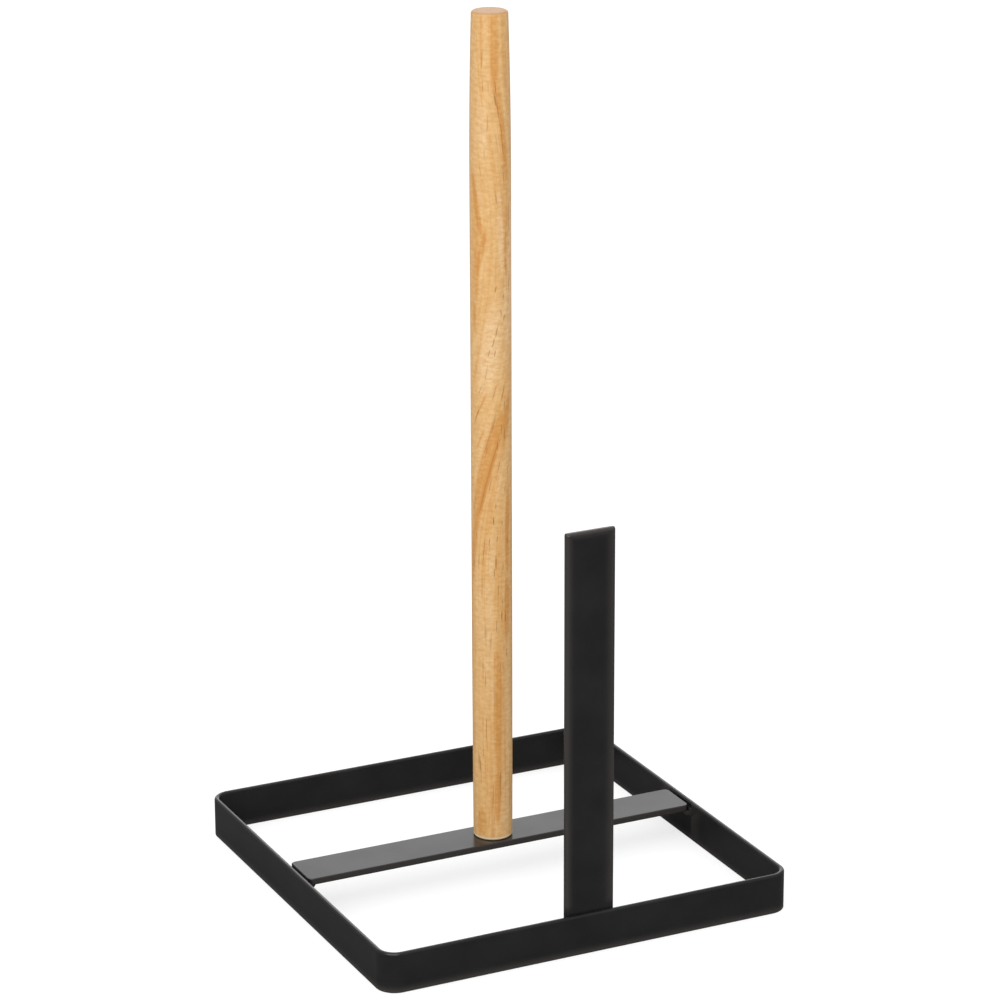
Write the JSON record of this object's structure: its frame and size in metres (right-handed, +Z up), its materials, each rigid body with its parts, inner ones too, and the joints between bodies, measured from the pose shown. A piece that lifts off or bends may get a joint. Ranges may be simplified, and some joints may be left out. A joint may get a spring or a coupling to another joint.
{
  "type": "paper towel holder",
  "caption": "Free-standing kitchen roll holder: a square base of black flat steel with a crossbar, a short tear bar at the front and a tall turned wooden post that the roll goes over.",
  "frame": {"origin": "on the table, under the middle of the square base", "axes": "+Z up along the post, X along the crossbar, -Y towards the tear bar at the front"},
  "size_m": [0.165, 0.165, 0.33],
  "materials": {
    "black_powder_coat": "satin powder coat on mild steel",
    "pine": "sanded, clear satin lacquer",
    "zinc_plated_steel": "zinc plated"
  },
  "bodies": {
    "base": {"base_frame": "black_powder_coat", "frame_seam_weld": "black_powder_coat", "crossbar": "black_powder_coat", "crossbar_weld_left": "black_powder_coat", "crossbar_weld_right": "black_powder_coat", "tear_bar": "black_powder_coat", "tear_bar_weld_left": "black_powder_coat", "tear_bar_weld_right": "black_powder_coat"},
    "post": {"post": "pine"},
    "screw": {"post_screw": "zinc_plated_steel"}
  },
  "joints": [
    {"name": "post_lift", "type": "slide", "parent": "base", "child": "post", "axis": [0, 0, 1], "range_m": [0, 0.026]},
    {"name": "screw_turn", "type": "hinge", "parent": "base", "child": "screw", "pos_m": [0, 0, 0.0125], "axis": [0, 0, 1], "range_deg": [-5200, 0]}
  ],
  "couplings": [
    {"joint": "screw_turn", "follows": "post_lift", "rad_per_m": -3490.7}
  ]
}
